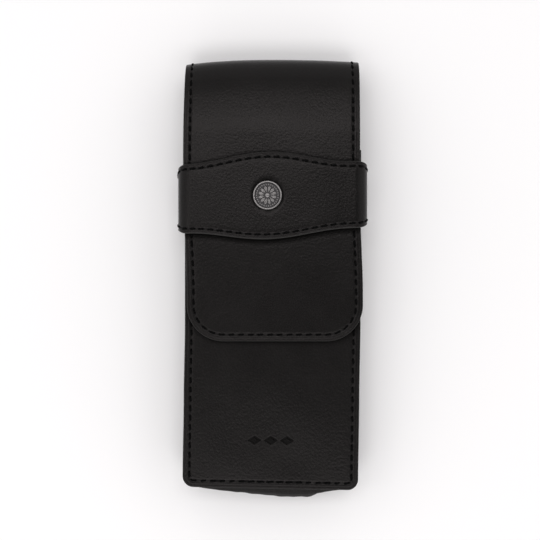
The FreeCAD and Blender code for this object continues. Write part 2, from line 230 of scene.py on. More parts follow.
def waviness(x, y):
    """Slow unevenness of soft leather, the same through all layers."""
    first = np.sin(x * 0.11 + y * 0.045 + 0.7) * np.sin(y * 0.083 - x * 0.03 + 1.1)
    second = np.sin(x * 0.19 - y * 0.07 + 2.0) * np.cos(y * 0.13 + 0.4)
    return 0.09 * first + 0.03 * second


def place_front(x, y, depth):
    edge = ramp(HALF - np.abs(x), 0, 9) * ramp(y - BOTTOM, 0, 12)
    height = FRONT_TOP - depth + waviness(x, y) * edge
    return FRONT_SPREAD * x + case_shift(y), y + case_skew(x, y), height


def place_sheet(x, length, depth):
    """The one cut that makes the back, the top fold and the flap.

    The back leans as the pocket does, and the flap's tip has slipped to the right. The top fold
    is crowned, is tucked in at its left end, and slopes away softly where the flap begins.
    """
    y, z = sheet_at(length, depth)
    on_flap = ramp(length, SHEET_MIDDLE - 10, SHEET_MIDDLE + 10)
    near_fold = bump(length, SHEET_MIDDLE, 26)
    lean = case_shift(y) * ramp(y, 60, 40)
    slip = FLAP_SLIP * ramp(y, 34, -6)
    shift = lean * (1 - on_flap) + slip * on_flap
    crown = FOLD_CROWN - np.where(x < 0, 1.9, 1.0) * (np.abs(x) / HALF) ** 2.2
    tuck = FOLD_TUCK * near_fold * ramp(-x, HALF * 0.7, HALF)
    skew = case_skew(x, y) * (1 - on_flap)
    edge = ramp(HALF - np.abs(x), 0, 9)
    lift = waviness(x, y) * edge * ramp(length, SHEET_MIDDLE + 14, SHEET_MIDDLE + 40)
    shoulder = (SHOULDER_DROP * ramp(y, 54, 80) + 0.55 * bump(y, 76.5, 4.6)) * on_flap
    spread = 1.003 + 0.006 * ramp(y, 5, 55)
    return spread * x + shift + tuck, y + skew + crown * near_fold, z + lift - shoulder


def place_flap(x, along, depth):
    """Along is measured from the flap's tip."""
    return place_sheet(x, SHEET_LENGTH - along, depth)


# Building meshes

class Cut:
    """Collects points in a cut's own terms, and faces between them."""

    def __init__(self):
        self.points = []
        self.relief = []
        self.count = 0
        self.faces = []
        self.slots = []

    def add(self, across, along, depth, relief=0.0):
        """Adds arrays of points, and gives their indices. Relief darkens them: pressed marks, painted
        shade.
        """
        across, along, depth, relief = np.broadcast_arrays(across, along, depth, relief)
        shape = across.shape
        self.points.append(np.stack([across.ravel(), along.ravel(), depth.ravel()], axis=1))
        self.relief.append(relief.ravel())
        first = self.count
        self.count += across.size
        return np.arange(first, self.count).reshape(shape)

    def quads(self, grid, slot=0):
        a, b, c, d = grid[:-1, :-1], grid[1:, :-1], grid[1:, 1:], grid[:-1, 1:]
        faces = np.stack([a.ravel(), b.ravel(), c.ravel(), d.ravel()], axis=1)
        self.faces.extend(faces.tolist())
        self.slots.extend([slot] * len(faces))

    def polygon(self, ring, slot=0):
        self.faces.append([int(index) for index in ring])
        self.slots.append(slot)

    def object(self, name, place, materials):
        cut = np.concatenate(self.points)
        x, y, z = place(cut[:, 0], cut[:, 1], cut[:, 2])
        mesh = bpy.data.meshes.new(name)
        mesh.from_pydata((np.stack([x, y, z], axis=1) * MM).tolist(), [], self.faces)
        mesh.polygons.foreach_set("material_index", self.slots)
        mesh.polygons.foreach_set("use_smooth", [True] * len(self.faces))
        attribute = mesh.attributes.new("cut", "FLOAT_VECTOR", "POINT")
        attribute.data.foreach_set("vector", cut.astype(np.float32).ravel())
        # The pressed attribute darkens leather: pressed marks, and painted shade in creases and
        # beside raised edges.
        pressed = ramp(np.concatenate(self.relief), 0.0, DARKEST_RELIEF)
        attribute = mesh.attributes.new("pressed", "FLOAT", "POINT")
        attribute.data.foreach_set("value", pressed.astype(np.float32))
        work = bmesh.new()
        work.from_mesh(mesh)
        bmesh.ops.recalc_face_normals(work, faces=work.faces)
        work.to_mesh(mesh)
        work.free()
        for material in materials:
            mesh.materials.append(material)
        piece = bpy.data.objects.new(name, mesh)
        bpy.context.scene.collection.objects.link(piece)
        return piece


class Panel:
    """A panel's outline: a left side, a low edge and a right side, and a high edge if closed."""

    def __init__(self, low, high, corner, closed, step=0.5, column=2.2, dense=None):
        self.low = low
        self.high = high
        self.corner = corner
        self.closed = closed
        self.sides = self.spaced(high, low + corner, step, dense and dense[1])
        self.arc = np.linspace(0, math.pi / 2, max(4, round(corner * 1.6 / step)))[1:]
        columns = self.spaced(-HALF, HALF, column, dense and dense[0])
        self.columns = columns / HALF

    @staticmethod
    def spaced(first, last, step, dense):
        """Even steps from first to last, with finer steps between the two dense limits."""
        if not dense:
            return np.linspace(first, last, max(2, round(abs(last - first) / step)))
        low, high, fine = dense
        marks = [first, high, low, last] if first > last else [first, low, high, last]
        steps = [step, fine, step]
        runs = []
        for a, b, size in zip(marks, marks[1:], steps):
            runs.append(np.linspace(a, b, max(2, round(abs(b - a) / size)), endpoint=False))
        return np.concatenate(runs + [[last]])

    def left(self, inset):
        """Points down the left side and round its corner, moved in by inset."""
        side = HALF - inset
        corner = max(self.corner - inset, 0.3)
        low = self.low + inset
        high = self.high - inset if self.closed else self.high
        share = (self.sides - self.high) / (self.low + self.corner - self.high)
        x = np.full(len(share), -side)
        y = high + share * (low + corner - high)
        arc_x = -side + corner - corner * np.cos(self.arc)
        arc_y = low + corner - corner * np.sin(self.arc)
        return np.concatenate([x, arc_x]), np.concatenate([y, arc_y])

    def ring(self, inset):
        """All round: down the left side, along the low edge, up the right, and back if closed."""
        x, y = self.left(inset)
        between = self.columns[1:-1]
        low_x = between * -x[-1]
        parts = [(x, y), (low_x, np.full(len(low_x), y[-1])), (-x[::-1], y[::-1])]
        if self.closed:
            high_x = between[::-1] * -x[0]
            parts.append((high_x, np.full(len(high_x), y[0])))
        return np.concatenate([p[0] for p in parts]), np.concatenate([p[1] for p in parts])

    def grid(self, inset):
        x, y = self.left(inset)
        return -x[:, None] * self.columns[None, :], np.repeat(y[:, None], len(self.columns), axis=1)

    def border(self, grid):
        parts = [grid[:, 0], grid[-1, 1:-1], grid[::-1, -1]]
        if self.closed:
            parts.append(grid[0, -2:0:-1])
        return np.concatenate(parts)

    def seam(self, inset):
        """The stitching line: its points, the length along it, and the pitch that divides it."""
        x, y = self.ring(inset)
        if self.closed:
            x, y = np.append(x, x[0]), np.append(y, y[0])
        length = np.concatenate([[0], np.cumsum(np.hypot(np.diff(x), np.diff(y)))])
        return x, y, length, length[-1] / round(length[-1] / PITCH)


def stitch_relief(inset, along, pitch, line_at):
    """How far the thread pulls the leather in: a shallow trough with a hole at each stitch's end."""
    phase = (along / pitch) % 1
    off_middle = np.abs(phase - 0.5)
    hole = bump(off_middle, STITCH_HALF + 0.01, 0.07)
    bridge = bump(off_middle, 0.5, 0.07)
    narrow = bump(inset, line_at, 0.30)
    wide = bump(inset, line_at, 0.8)
    return narrow * (TROUGH_DEPTH + HOLE_DEPTH * hole - BRIDGE_RISE * bridge) + 0.028 * wide


def crease_relief(inset):
    """The line pressed along an edge, and the slight roll between it and the stitches."""
    return 0.05 * bump(inset, 1.05, 0.15) - 0.015 * bump(inset, 1.62, 0.35)


def unmarked(x, y):
    return 0, 0


def leather_panel(name, panel, top, thickness, place, materials, marks=unmarked, creased=True):
    """A closed panel of leather. The grain side is at depth top, the flesh side below it.

    A negative thickness makes a lining, whose free side looks the other way. marks gives the
    depth and the darkness of what is pressed into the grain, and of painted shadow lines.
    """
    cut = Cut()
    sign = 1 if thickness > 0 else -1
    far = top + thickness
    x, y, length, pitch = panel.seam(SEAM_INSET)
    if panel.closed:
        length = length[:-1]
    grid_x, grid_y = panel.grid(INNER)
    under = cut.add(grid_x, grid_y, far)
    rings = [panel.border(under)]
    rim = abs(thickness)
    # Insets and depths round the cut edge, from its far side to the grain
    edge = [(0.5, rim), (0.1, rim - 0.01), (0.0, rim - 0.12), (0.0, 0.45 * rim), (0.04, 0.22),
            (0.16, 0.07)]
    for inset, depth in edge:
        ring_x, ring_y = panel.ring(inset)
        rings.append(cut.add(ring_x, ring_y, top + sign * depth))
    for inset in GRAIN_RINGS:
        ring_x, ring_y = panel.ring(inset)
        roll = 0.012 * bump(inset, 0.36, 0.1)
        depth = roll + stitch_relief(inset, length, pitch, SEAM_INSET)
        if creased:
            depth = depth + crease_relief(inset)
        dent, dark = marks(ring_x, ring_y)
        # Seam troughs and creases get painted shade, as dark as their depth.
        rings.append(cut.add(ring_x, ring_y, top + sign * (depth + dent), CREASE_SHADE * depth + dark))
    dent, dark = marks(grid_x, grid_y)
    over = cut.add(grid_x, grid_y, top + sign * dent, dark)
    rings.append(panel.border(over))
    stack = np.array(rings)
    if panel.closed:
        stack = np.concatenate([stack, stack[:, :1]], axis=1)
    split = len(edge)
    cut.quads(stack[:2])
    cut.quads(stack[1:split + 1], 1)
    cut.quads(stack[split:])
    cut.quads(under)
    cut.quads(over)
    if not panel.closed:
        right_end = stack[::-1, -1][1:-1]
        left_end = stack[1:-1, 0]
        cut.polygon(np.concatenate([over[0], right_end, under[0][::-1], left_end]))
    return cut.object(name, place, materials)


def stitches(cut, x, y, length, pitch, surface, sign=1.0, keep=None):
    """Threads along a seam.

    surface is the depth that they lie at, sign is 1 where the leather is below them and -1 where
    it is above, and keep picks the stitches that are made.
    """
    count = round(length[-1] / pitch)
    centre = (np.arange(count) + 0.5) * pitch
    if keep is not None:
        centre = centre[keep(np.interp(centre, length, x), np.interp(centre, length, y))]
    turns = np.linspace(-1, 1, 9)
    angles = np.arange(8) / 8 * 2 * math.pi
    reach = centre[:, None] + turns[None, :] * STITCH_HALF * pitch
    at_x = np.interp(reach, length, x)
    at_y = np.interp(reach, length, y)
    run_x = at_x[:, -1] - at_x[:, 0]
    run_y = at_y[:, -1] - at_y[:, 0]
    size = np.hypot(run_x, run_y)
    side_x, side_y = -run_y / size, run_x / size
    off = (STITCH_SLANT * turns)[None, :, None] + THREAD_RADIUS * np.cos(angles)[None, None, :]
    sink = STITCH_DIVE * np.abs(turns) ** 4 - STITCH_RISE
    level = surface(at_x, at_y) if callable(surface) else surface
    depth = level + sign * sink[None, :]
    depth = depth[:, :, None] + THREAD_HALF_HEIGHT * np.sin(angles)[None, None, :]
    across = at_x[:, :, None] + side_x[:, None, None] * off
    along = at_y[:, :, None] + side_y[:, None, None] * off
    grid = cut.add(across, along, depth)
    for bar in grid:
        cut.quads(np.concatenate([bar, bar[:, :1]], axis=1))
        cut.polygon(bar[0])
        cut.polygon(bar[-1][::-1])


# Materials

class Shader:
    """A Principled material and short ways to add nodes to it."""

    def __init__(self, name):
        self.material = bpy.data.materials.new(name)
        self.material.use_nodes = True
        self.tree = self.material.node_tree
        self.principled = self.tree.nodes["Principled BSDF"]

    def node(self, kind, settings=None, **inputs):
        made = self.tree.nodes.new(kind)
        for key, value in (settings or {}).items():
            setattr(made, key, value)
        for key, value in inputs.items():
            self.put(made.inputs[key.replace("_", " ")], value)
        return made

    def put(self, socket, value):
        if isinstance(value, bpy.types.NodeSocket):
            self.tree.links.new(value, socket)
        else:
            socket.default_value = value

    def set(self, **inputs):
        for key, value in inputs.items():
            self.put(self.principled.inputs[key.replace("_", " ")], value)

    def cut_place(self):
        return self.node("ShaderNodeAttribute", {"attribute_name": "cut"}).outputs["Vector"]

    def noise(self, place, scale, detail=3.0, roughness=0.5):
        made = self.node("ShaderNodeTexNoise", Vector=place, Scale=scale, Detail=detail,
                         Roughness=roughness)
        return made.outputs["Fac"]

    def mix(self, factor, first, second):
        """Mixes two colours. They are a Mix node's inputs 6 and 7, and the result is output 2."""
        made = self.node("ShaderNodeMix", {"data_type": "RGBA"})
        self.put(made.inputs[0], factor)
        self.put(made.inputs[6], first)
        self.put(made.inputs[7], second)
        return made.outputs[2]

    def span(self, value, low, high, start=0.0, end=1.0):
        """Maps start to low and end to high."""
        made = self.node("ShaderNodeMapRange", Value=value, From_Min=start, From_Max=end,
                         To_Min=low, To_Max=high)
        return made.outputs["Result"]

    def math(self, kind, first, second):
        made = self.node("ShaderNodeMath", {"operation": kind})
        self.put(made.inputs[0], first)
        self.put(made.inputs[1], second)
        return made.outputs[0]

    def bump(self, height, distance):
        made = self.node("ShaderNodeBump", Height=height, Distance=distance, Strength=1.0)
        self.set(Normal=made.outputs["Normal"])


def grey(value, warm=0.0):
    return (value * (1 + warm), value, value * (1 - warm), 1)


def leather(name, dark, light, smoothest, roughest, pebble, relief):
    """Full-grain leather: pebbles, fine pores, and slow changes of tone and polish."""
    shader = Shader(name)
    place = shader.cut_place()
    warp = shader.node("ShaderNodeTexNoise", Vector=place, Scale=0.6, Detail=2.0).outputs["Color"]
    warped = shader.node("ShaderNodeVectorMath", {"operation": "MULTIPLY_ADD"})
    for index, value in enumerate((warp, (0.35, 0.35, 0.35), place)):
        shader.put(warped.inputs[index], value)
    cells = shader.node("ShaderNodeTexVoronoi", {"feature": "SMOOTH_F1"}, Vector=warped.outputs[0],
                        Scale=pebble, Smoothness=0.6)
    pores = shader.noise(place, 3.4, 4.0, 0.6)
    slow = shader.noise(place, 0.07, 3.0)
    patch = shader.noise(place, 0.35, 4.0, 0.6)
    tone = shader.math("ADD", shader.span(slow, 0.0, 0.6, 0.3, 0.7),
                       shader.span(patch, 0.0, 0.4, 0.3, 0.7))
    pressed = shader.node("ShaderNodeAttribute", {"attribute_name": "pressed"}).outputs["Fac"]
    shader.set(Base_Color=shader.mix(tone, grey(dark, 0.05), grey(light, 0.05)))
    polish = shader.math("ADD", shader.span(slow, 0.0, 0.6, 0.3, 0.7),
                         shader.span(pores, 0.0, 0.4, 0.3, 0.7))
    shader.set(Roughness=shader.span(polish, smoothest, roughest))
    # Less shine where pressed is high: pressed marks, and painted shade and shadow lines.
    gleam = shader.math("MULTIPLY", shader.span(pores, 0.06, 0.30, 0.3, 0.7),
                        shader.span(pressed, 1.0, 0.3))
    shader.set(Specular_IOR_Level=gleam)
    shader.set(Specular_Tint=(1.0, 0.93, 0.925, 1))
    height = shader.math("ADD", shader.math("MULTIPLY", cells.outputs["Distance"], -0.9),
                         shader.math("MULTIPLY", pores, 0.55))
    shader.bump(height, relief)
    return shader.material


def edge_paint():
    shader = Shader("edge_paint")
    place = shader.cut_place()
    streaks = shader.noise(place, 1.6, 3.0, 0.6)
    shader.set(Base_Color=shader.mix(streaks, grey(0.008, 0.06), grey(0.022, 0.08)))
    shader.set(Roughness=shader.span(streaks, 0.38, 0.55), Specular_IOR_Level=0.3)
    shader.bump(streaks, 0.00008)
    return shader.material


def suede():
    shader = Shader("suede_lining")
    place = shader.cut_place()
    nap = shader.noise(place, 2.6, 5.0, 0.7)
    slow = shader.noise(place, 0.12, 3.0)
    tone = shader.math("ADD", shader.span(nap, 0.0, 0.5), shader.span(slow, 0.0, 0.5))
    shader.set(Base_Color=shader.mix(tone, grey(0.009, 0.05), grey(0.03, 0.05)))
    shader.set(Roughness=shader.span(nap, 0.8, 0.95), Specular_IOR_Level=0.15)
    shader.set(Sheen_Weight=0.25, Sheen_Roughness=0.5)
    shader.bump(nap, 0.00012)
    return shader.material


def thread_material():
    shader = Shader("waxed_thread")
    place = shader.cut_place()
    twist = shader.node("ShaderNodeTexWave", {"bands_direction": "DIAGONAL"}, Vector=place,
                        Scale=1.6, Distortion=1.0, Detail=1.0).outputs["Fac"]
    shader.set(Base_Color=shader.mix(twist, grey(0.0005), grey(0.0012)))
    shader.set(Roughness=shader.span(twist, 0.6, 0.75), Specular_IOR_Level=0.06)
    shader.bump(twist, 0.00005)
    return shader.material


def antique_nickel():
    """Bright where it is rubbed, dark where the patina stays in the hollows."""
    shader = Shader("antique_nickel")
    rubbed = shader.node("ShaderNodeAttribute", {"attribute_name": "rubbed"}).outputs["Fac"]
    place = shader.cut_place()
    specks = shader.noise(place, 2.2, 4.0, 0.7)
    shade = shader.math("MULTIPLY", rubbed, shader.span(specks, 0.7, 1.15, 0.3, 0.7))
    shader.set(Base_Color=shader.mix(shade, (0.022, 0.021, 0.023, 1), (0.27, 0.258, 0.255, 1)))
    shader.set(Metallic=1.0, Roughness=shader.span(shade, 0.55, 0.3))
    shader.bump(specks, 0.00003)
    return shader.material


black_leather = leather("black_leather", dark=0.0016, light=0.0029, smoothest=0.28,
                        roughest=0.33, pebble=1.25, relief=0.00005)
soft_leather = leather("gusset_leather", dark=0.0052, light=0.0085, smoothest=0.50,
                       roughest=0.66, pebble=0.9, relief=0.00005)
painted_edge = edge_paint()
lining_suede = suede()
black_thread = thread_material()
nickel = antique_nickel()


def finished(piece, body, slot, *nodes):
    """A piece that rides on one body and stands for these nodes."""
    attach(piece, body)
    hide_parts(*nodes)


def folded(piece, lower, slot, *nodes):
    """A piece at the case's top edge or the flap's root: its place is baked in and its nodes hidden.
    """
    if lower:
        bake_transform(piece)
    else:
        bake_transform(piece)
    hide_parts(*nodes)


# The keeper band's way round the case

band_length, band_at = route([(-BAND_TAB_END, band_low[2], 0),
                              (-BAND_SPAN, band_low[2], BAND_LOWER_BEND),
                              (-BAND_SPAN, BAND_TOP, BAND_UPPER_BEND),
                              (BAND_SPAN, BAND_TOP, BAND_UPPER_BEND),
                              (BAND_SPAN, band_low[2], BAND_LOWER_BEND),
                              (BAND_TAB_END, band_low[2], 0)], -1)


def band_edges(along):
    """The band's lower and upper edge at lengths along it: crowned, skewed, and narrowed low down."""
    x, z = band_at(along, 0.0)
    rise = (1 + np.cos(math.pi * np.clip((x - BUTTON_X) / CROWN_HALF, -1, 1))) / 2
    over_the_side = ramp(BAND_TOP - z, -0.6, 5.0)
    taper = 1.3 * over_the_side + 1.6 * ramp(BAND_TOP - z, 4.0, BAND_TOP)
    low = BAND_Y - BAND_END_HALF - LOWER_CROWN * rise + LOWER_SLOPE * x + taper
    high = BAND_Y + BAND_END_HALF + UPPER_CROWN * rise + UPPER_SLOPE * x - taper
    return low, high


# The folded sheet: back, top fold and flap

def painted_shadow_line(away, share, near, far):
    """Painted shadow beside a raised edge: how dark it is, as the depth of a mark that is as dark.

    Away is measured outward from the edge. The line is full up to near, ends at far, and fades
    out under the edge.
    """
    outside = (far - away) / (far - near)
    inside = 1 + away / 0.8
    return DARKEST_RELIEF * share * np.clip(np.minimum(outside, inside), 0, 1)


def band_edge_shadows(x, along):
    """Painted shadow lines across the flap beside the band's two edges, with a slight dent."""
    y = FLAP_TIP + along
    low, high = band_edges(band_length / 2 + x)
    below = painted_shadow_line(low - y, share=1.0, near=0.9, far=2.8)
    above = painted_shadow_line(y - high, share=0.65, near=0.4, far=1.3)
    return SHADOW_LINE_DENT * (below + above), below + above


rows_under_band = (BAND_Y - BAND_REACH - FLAP_TIP, BAND_Y + BAND_REACH - FLAP_TIP, 0.25)
back_panel = Panel(0.0, SHEET_MIDDLE, PANEL_CORNER, closed=False)
flap_panel = Panel(0.0, SHEET_LENGTH - SHEET_MIDDLE, FLAP_CORNER, closed=False, column=1.1,
                   dense=(None, rows_under_band))


def make_sheet():
    skin = [black_leather, painted_edge]
    backing = [lining_suede, painted_edge]
    back = leather_panel("back_leather", back_panel, 0.0, OUTER, place_sheet, skin)
    folded(back, True, "outer_leather", "back_outer")
    # The flap carries painted shadow lines beside the band's edges.
    flap = leather_panel("flap_leather", flap_panel, 0.0, OUTER, place_flap, skin, band_edge_shadows)
    folded(flap, False, "outer_leather", "fold_outer", "flap_outer")
    back_lining = leather_panel("back_lining_suede", back_panel, SHEET, LINING_TRIM - LINING,
                                place_sheet, backing, creased=False)
    folded(back_lining, True, "lining_leather", "back_lining")
    flap_lining = leather_panel("flap_lining_suede", flap_panel, SHEET, LINING_TRIM - LINING,
                                place_flap, backing, creased=False)
    folded(flap_lining, False, "lining_leather", "fold_lining", "flap_lining")
    back_thread, flap_thread = make_sheet_threads()


def make_sheet_threads():
    """The back's stitches lie flush in the face that the case rests on."""
    def inner_face(x, along):
        """Below the mouth the seam also goes through the gusset's margin."""
        return SHEET + OUTER * (along < MOUTH - BOTTOM)

    flush = STITCH_RISE + THREAD_HALF_HEIGHT
    cut = Cut()
    x, y, length, pitch = back_panel.seam(SEAM_INSET)
    stitches(cut, x, y, length, pitch, flush)
    stitches(cut, x, y, length, pitch, inner_face, -1.0,
             keep=lambda at_x, at_y: np.abs(at_x) > HALF - SEAM_INSET - 0.2)
    back = cut.object("back_thread", place_sheet, [black_thread])
    folded(back, True, "thread", "back_seam_thread")
    cut = Cut()
    x, y, length, pitch = flap_panel.seam(SEAM_INSET)
    stitches(cut, x, y, length, pitch, 0.0)
    stitches(cut, x, y, length, pitch, SHEET, -1.0)
    flap = cut.object("flap_thread", place_flap, [black_thread])
    folded(flap, False, "thread", "fold_seam_thread", "flap_seam_thread")
    return back, flap


# The pocket's front

MARK_Y = BOTTOM + 18.0
MARK_SPACING = 6.0
MARK_HALF_LENGTH = 2.6
MARK_HALF_HEIGHT = 1.7
MARK_DEPTH = 0.32


def mark_relief(x, y):
    """Three lozenges pressed into the leather, with the leather pulled down round them."""
    depth = np.zeros_like(x)
    for place in (-1, 0, 1):
        centre = place * MARK_SPACING
        away = np.abs(x - centre) / MARK_HALF_LENGTH + np.abs(y - MARK_Y) / MARK_HALF_HEIGHT
        raised = ramp(away, 0.52, 0.40)
        pressed = ramp(away, 1.04, 0.90)
        depth = np.maximum(depth, MARK_DEPTH * pressed - 0.22 * raised)
    return depth


def front_marks_and_tip_shadow(x, y):
    """The pressed lozenges, and a painted shadow line round the flap's tip, with a slight dent."""
    slip = place_sheet(0.0, SHEET_LENGTH, 0.0)[0]
    side = np.maximum(np.abs(x - slip) - (HALF - FLAP_CORNER), 0)
    down = np.maximum(FLAP_TIP + FLAP_CORNER - y, 0)
    away = np.hypot(side, down) - FLAP_CORNER
    near_tip = ramp(y, FLAP_TIP + 30, FLAP_TIP + 15)
    line = painted_shadow_line(away, share=0.65, near=0.4, far=2.6) * near_tip
    lozenges = mark_relief(x, y)
    return lozenges + SHADOW_LINE_DENT * line, lozenges + line


front_panel = Panel(BOTTOM, MOUTH, PANEL_CORNER, closed=True, column=1.2,
                    dense=((-9.6, 9.6, 0.24), (MARK_Y - 3.0, MARK_Y + 3.0, 0.2)))


def make_front():
    skin = [black_leather, painted_edge]
    # The front carries a painted shadow line round the flap's tip.
    piece = leather_panel("front_leather", front_panel, 0.0, OUTER, place_front, skin, front_marks_and_tip_shadow)
    finished(piece, "case", "outer_leather", "front_outer")
    plain = Panel(BOTTOM, MOUTH, PANEL_CORNER, closed=True, step=1.0, column=3.0)
    piece = leather_panel("front_lining_suede", plain, SHEET, LINING_TRIM - LINING, place_front,
                          [lining_suede, painted_edge], creased=False)
    finished(piece, "case", "lining_leather", "front_lining")


def make_front_threads():
    x, y, length, pitch = front_panel.seam(SEAM_INSET)
    top = MOUTH - SEAM_INSET - 0.1
    sides = Cut()
    stitches(sides, x, y, length, pitch, 0.0, keep=lambda at_x, at_y: at_y < top)
    side = HALF - SEAM_INSET - 0.2
    stitches(sides, x, y, length, pitch, SHEET + OUTER, -1.0,
             keep=lambda at_x, at_y: (at_y < top) & (np.abs(at_x) > side))
    piece = sides.object("front_thread", place_front, [black_thread])
    finished(piece, "case", "thread", "front_seam_thread")
    across = Cut()
    stitches(across, x, y, length, pitch, 0.0, keep=lambda at_x, at_y: at_y >= top)
    stitches(across, x, y, length, pitch, SHEET, -1.0, keep=lambda at_x, at_y: at_y >= top)
    piece = across.object("mouth_edge_thread", place_front, [black_thread])
    finished(piece, "case", "thread", "mouth_thread")


# Gussets and dividers

GUSSET_FILLET = 1.3
SEAM_MARGIN = 4.0
SIDE_BULGE = 1.5


def bow(z):
    """One halfway up the case and nothing at its floor and roof."""
    share = np.clip((z - FLOOR_Z) / (ROOF_Z - FLOOR_Z), 0, 1)
    return 4 * share * (1 - share)


def creases(along, z, size):
    """Soft folds that run up a gusset's wall."""
    first = np.sin(along * 0.42 + 0.8 * np.sin(z * 0.31)) * np.sin(along * 0.13 + 0.5)
    second = np.sin(along * 1.15 + z * 0.22 + 1.2)
    return size * (0.7 * first + 0.3 * second)


def channel(name, route_length, place, first, last, step, materials):
    """A strip of leather with a channel section, from first to last along its length."""
    cut = Cut()
    half = OUTER / 2
    around = np.linspace(0, route_length, round(route_length / 0.5))
    lip = 0.18
    across = np.concatenate([around, np.full(2, route_length + lip), around[::-1], np.full(2, -lip)])
    depth = np.concatenate([np.full(len(around), -half), [-half / 2, half / 2],
                            np.full(len(around), half), [half / 2, -half / 2]])
    stations = np.linspace(first, last, round((last - first) / step))
    grid = cut.add(across[None, :], stations[:, None], depth[None, :])
    closed = np.concatenate([grid, grid[:, :1]], axis=1)
    cut.quads(closed)
    for row in (0, -1):
        loop = grid[row]
        outer = loop[:len(around)]
        inner = loop[len(around) + 2:2 * len(around) + 2][::-1]
        cut.quads(np.stack([outer, inner]), 1)
        cut.polygon([outer[-1], loop[len(around)], loop[len(around) + 1], inner[-1]], 1)
        cut.polygon([inner[0], loop[-2], loop[-1], outer[0]], 1)
    return cut.object(name, place, materials)


def make_side_gussets():
    margin = FLOOR_Z + OUTER / 2
    roof = ROOF_Z - OUTER / 2
    wall = HALF - SEAM_MARGIN - OUTER / 2
    edge = HALF - 0.2
    length, at = route([(edge, margin, 0), (wall, margin, GUSSET_FILLET),
                        (wall, roof, GUSSET_FILLET), (edge, roof, 0)], -1)
    low = BOTTOM + SEAM_MARGIN + OUTER

    def place_at(side):
        def place(around, y, depth):
            x, z = at(around, depth)
            loose = bow(z) * ramp(HALF - SEAM_MARGIN + 2.5, x - 1.5, x + 1.5)
            x = x + SIDE_BULGE * bow(z) + creases(y, z, 0.28) * loose
            return side * x + case_shift(y), y + case_skew(side * x, y), z
        return place

    for name, side in (("right_gusset", 1), ("left_gusset", -1)):
        piece = channel(name + "_leather", length, place_at(side), low, MOUTH - 0.1, 0.8,
                        [soft_leather, painted_edge])
        finished(piece, "case", "gusset_leather", name)


def make_bottom_gusset():
    margin = FLOOR_Z + OUTER / 2
    roof = ROOF_Z - OUTER / 2
    wall = BOTTOM + SEAM_MARGIN + OUTER / 2
    edge = BOTTOM + 0.15
    length, at = route([(edge, margin, 0), (wall, margin, GUSSET_FILLET),
                        (wall, roof, GUSSET_FILLET), (edge, roof, 0)], 1)
    full = SEAM_MARGIN + (BOTTOM - cad_low[1] / MM)
    stations = [-31.0, -25.0, -16.0, -0.5, 11.0, 16.0, 21.6, 30.0]
    bulges = [0.0, 3.6, 7.1, 8.3, full, 8.7, 4.6, 0.0]

    def bulge_at(x):
        """The bulge between stations, rounded off by a mean over 6 mm."""
        return np.mean([np.interp(x + near, stations, bulges) for near in range(-3, 4)], axis=0)

    def place(around, x, depth):
        y, z = at(around, depth)
        overshoot = np.maximum(np.abs(x) - (HALF - PANEL_CORNER), 0)
        rounded = PANEL_CORNER - np.sqrt(np.maximum(PANEL_CORNER ** 2 - overshoot ** 2, 0))
        share = np.clip((wall - y) / (wall - BOTTOM), 0, 1)
        y = y + share * np.minimum(rounded, SEAM_MARGIN - 0.4)
        bulge = bulge_at(x)
        soft = creases(x, z, 0.25) * bulge / full
        ribs = 0.10 * np.sin(z * 3.9 + 0.5 * np.sin(x * 0.3)) * bulge / full
        y = y - (bulge + soft + ribs) * bow(z)
        return x + case_shift(y), y + case_skew(x, y), z

    piece = channel("bottom_gusset_leather", length, place, -HALF + 0.3, HALF - 0.3, 0.6,
                    [soft_leather, painted_edge])
    finished(piece, "case", "gusset_leather", "bottom_gusset")


def make_dividers():
    thickness = divider_high[0] - divider_low[0]
    middle = (divider_high[0] + divider_low[0]) / 2
    low, high = divider_low[1], divider_high[1]
    for name, side in (("right_divider", 1), ("left_divider", -1)):
        def place(z, y, depth, side=side):
            free = bow(z)
            sway = 0.5 * np.sin(y * 0.07 + side) + 0.35 * np.sin(y * 0.19 + z * 0.2)
            dip = 1.6 * bump(z, MIDDLE_Z, 4.0) * ramp(y, high - 12, high)
            x = side * middle + sway * free + depth
            return x + case_shift(y), y - dip, z
        cut = Cut()
        count = 18
        across = np.linspace(FLOOR_Z + 0.05, ROOF_Z - 0.05, count)
        along = np.linspace(low, high, 110)
        loop = np.concatenate([across, across[::-1]])
        depth = np.concatenate([np.full(count, -thickness / 2), np.full(count, thickness / 2)])
        grid = cut.add(loop[None, :], along[:, None], depth[None, :])
        cut.quads(np.concatenate([grid, grid[:, :1]], axis=1))
        for row in (0, -1):
            cut.quads(np.stack([grid[row][:count], grid[row][count:][::-1]]), 1)
        piece = cut.object(name + "_suede", place, [lining_suede, painted_edge])
        finished(piece, "case", "lining_leather", name)


# Keeper band

def place_band(along, y, depth):
    """Bends the band round the case: slack at the sides, and pulled in round the button."""
    x, z = band_at(along, depth)
    on_top = ramp(z, 14, 22)
    away = np.hypot(x - BUTTON_X, y - BUTTON_Y)
    dimple = 0.30 * ramp(away, BUTTON_RADIUS + 1.3, BUTTON_RADIUS - 0.2)
    swell = 0.5 * ramp(BAND_SPAN - np.abs(x), 3, 20)
    slack = 0.2 * np.sin((z - 4) * 0.15) * (1 - on_top)
    lean = np.where(x < 0, 0.6, 0.0) * ramp(z, 8, 20) * ramp(np.abs(x), 22, 33)
    lift = (waviness(x, y) * ramp(BAND_SPAN - np.abs(x), 2, 12) + swell - dimple) * on_top
    return x + 0.15 + np.sign(x) * (slack - lean), y, z + lift


